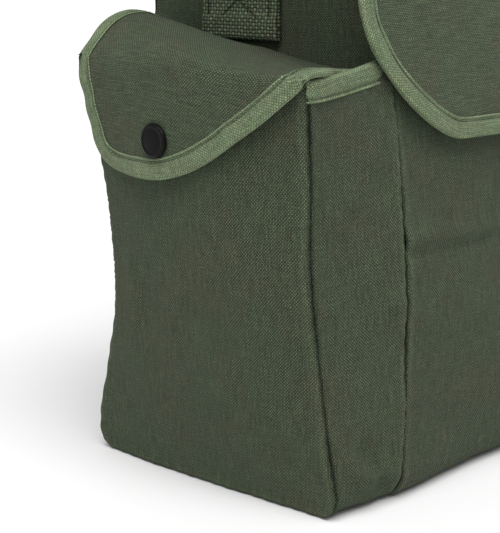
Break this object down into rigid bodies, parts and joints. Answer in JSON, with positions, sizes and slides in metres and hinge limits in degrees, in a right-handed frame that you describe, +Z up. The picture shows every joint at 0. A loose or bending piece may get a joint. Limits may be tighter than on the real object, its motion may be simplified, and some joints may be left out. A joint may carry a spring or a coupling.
{
  "type": "canvas haversack",
  "caption": "Canvas haversack with a bound front flap, a gusseted side pocket with a snapped flap at each end, and a webbing shoulder strap.",
  "frame": {"origin": "middle of the flat base, on the surface that the bag stands on", "axes": "+X along the bag's width to the right end seen from the front, +Y to the back, +Z up"},
  "size_m": [0.5328, 0.2402, 0.3473],
  "materials": {
    "canvas": "matt plain-woven cotton canvas, olive green",
    "binding_tape": "matt twill tape, lighter green",
    "webbing": "coarse woven cotton webbing, olive green",
    "snap": "black, satin"
  },
  "bodies": {
    "root": {"body_panel": "canvas", "end_panel_left": "canvas", "end_panel_right": "canvas", "main_flap": "canvas", "main_flap_binding": "binding_tape", "main_flap_snap": "snap", "left_pocket_gusset": "canvas", "left_pocket_face": "canvas", "left_pocket_mouth_binding": "binding_tape", "left_pocket_flap": "canvas", "left_pocket_flap_binding": "binding_tape", "left_pocket_snap": "snap", "right_pocket_gusset": "canvas", "right_pocket_face": "canvas", "right_pocket_mouth_binding": "binding_tape", "right_pocket_flap": "canvas", "right_pocket_flap_binding": "binding_tape", "right_pocket_snap": "snap", "shoulder_strap": "webbing"}
  },
  "joints": []
}
